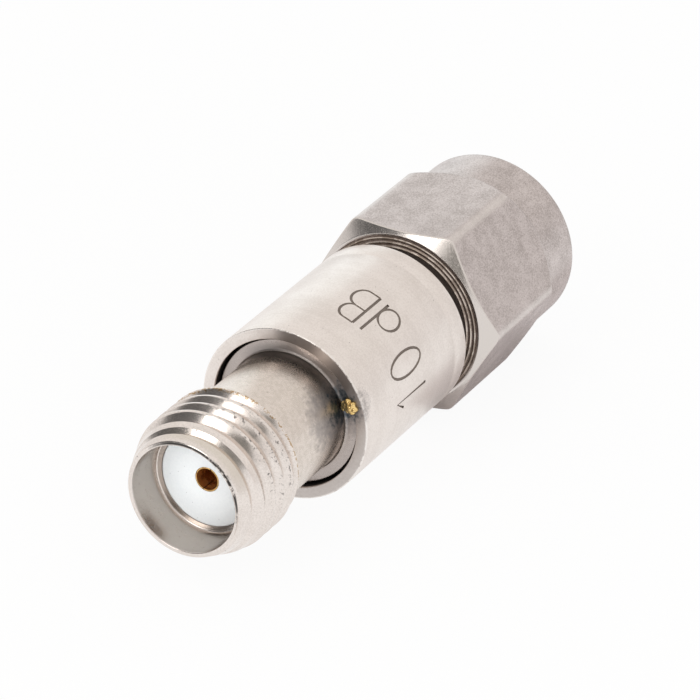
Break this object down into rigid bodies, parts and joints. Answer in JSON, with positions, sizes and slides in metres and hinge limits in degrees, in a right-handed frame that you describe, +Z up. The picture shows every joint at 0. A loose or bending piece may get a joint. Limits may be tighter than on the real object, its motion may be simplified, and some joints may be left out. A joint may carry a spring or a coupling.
{
  "type": "rf attenuator",
  "caption": "Coaxial fixed attenuator: threaded socket end, plain round sleeve and a pin end with a captive hexagonal coupling nut that turns freely.",
  "frame": {"origin": "on the surface that the part lies on, under the middle of its length", "axes": "+X along the line from the jack mouth towards the coupling nut, +Z up, a flat of the nut facing down"},
  "size_m": [0.0264, 0.009, 0.008],
  "materials": {
    "shell_metal": "turned and plated, satin",
    "sleeve_metal": "fine turned, satin, lightly pitted",
    "nut_metal": "tumbled satin with polished chamfers",
    "ptfe": "smooth white",
    "gold_plate": "gold plated",
    "solder": "rough melted bead",
    "carrier_metal": "turned",
    "ceramic": "fired ceramic",
    "ring_metal": "spring bronze",
    "gasket_rubber": "soft seal"
  },
  "bodies": {
    "attenuator": {"jack_shell": "shell_metal", "plug_shell": "shell_metal", "sleeve": "sleeve_metal", "jack_insulator": "ptfe", "plug_insulator": "ptfe", "jack_contact": "gold_plate", "plug_pin": "gold_plate", "solder_bead": "solder", "chip_carrier": "carrier_metal", "attenuator_chip": "ceramic", "retaining_ring": "ring_metal", "gasket": "gasket_rubber"},
    "nut": {"coupling_nut": "nut_metal"}
  },
  "joints": [
    {"name": "nut_spin", "type": "hinge", "parent": "attenuator", "child": "nut", "pos_m": [0.00873, 0, 0.004], "axis": [1, 0, 0], "continuous": true}
  ]
}
